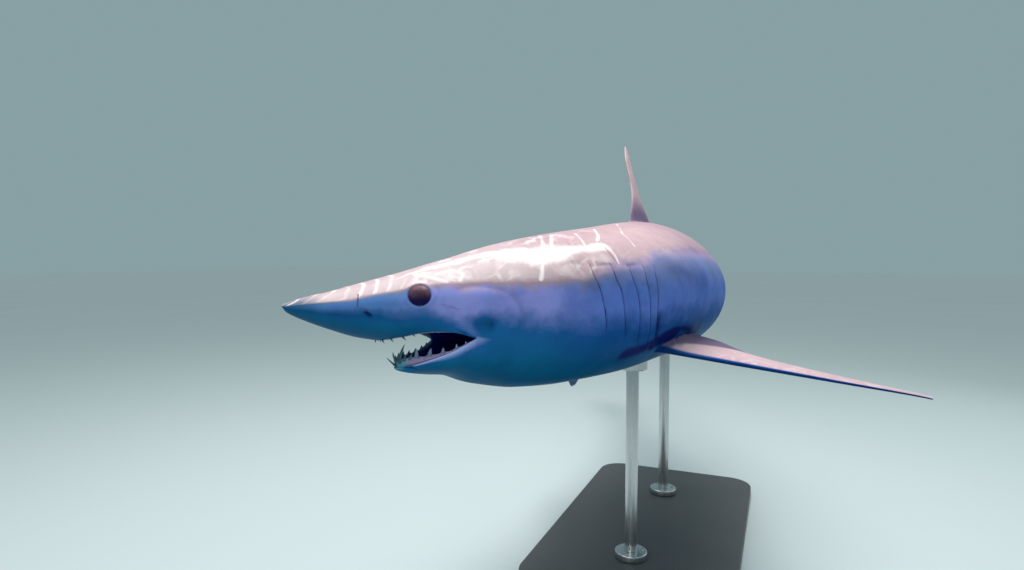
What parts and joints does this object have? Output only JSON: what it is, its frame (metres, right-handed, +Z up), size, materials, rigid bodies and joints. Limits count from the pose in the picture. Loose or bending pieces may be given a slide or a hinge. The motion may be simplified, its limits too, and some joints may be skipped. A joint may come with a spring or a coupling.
{
  "type": "shortfin mako shark on a display stand",
  "caption": "Life-size shortfin mako shark, turning and banking with its mouth open, held by two rods on a flat base.",
  "frame": {"origin": "middle of the whole model's box in X and Y, on the floor under the base plate", "axes": "+Z up; the middle of the shark's body faces -Y and its left side is towards +X; the box is longest along Y"},
  "size_m": [0.979, 2.0142, 0.931],
  "materials": {
    "skin": "cast resin skin painted as a live shark: dusky rose-grey back, violet-blue flank, pale belly, fine denticle grain, damp sheen",
    "tooth": "ivory enamel, glossy, slightly translucent at the tips",
    "eye": "polished near-black glass eye with a brown sheen on its upper half",
    "stand_base": "steel plate with a satin charcoal powder coat",
    "stand_metal": "brushed stainless steel"
  },
  "bodies": {
    "root": {"head": "skin", "lower_jaw": "skin", "trunk_front": "skin", "trunk_middle": "skin", "trunk_rear": "skin", "tail_stock": "skin", "caudal_fin_upper": "skin", "caudal_fin_lower": "skin", "dorsal_fin_first": "skin", "dorsal_fin_second": "skin", "anal_fin": "skin", "pectoral_fin_left": "skin", "pectoral_fin_right": "skin", "pelvic_fin_left": "skin", "pelvic_fin_right": "skin", "eye_left": "eye", "eye_right": "eye", "stand_base": "stand_base", "stand_collar_front": "stand_metal", "stand_collar_rear": "stand_metal", "stand_rod_front": "stand_metal", "stand_rod_rear": "stand_metal", "stand_cup_front": "stand_metal", "stand_cup_rear": "stand_metal"}
  },
  "joints": []
}
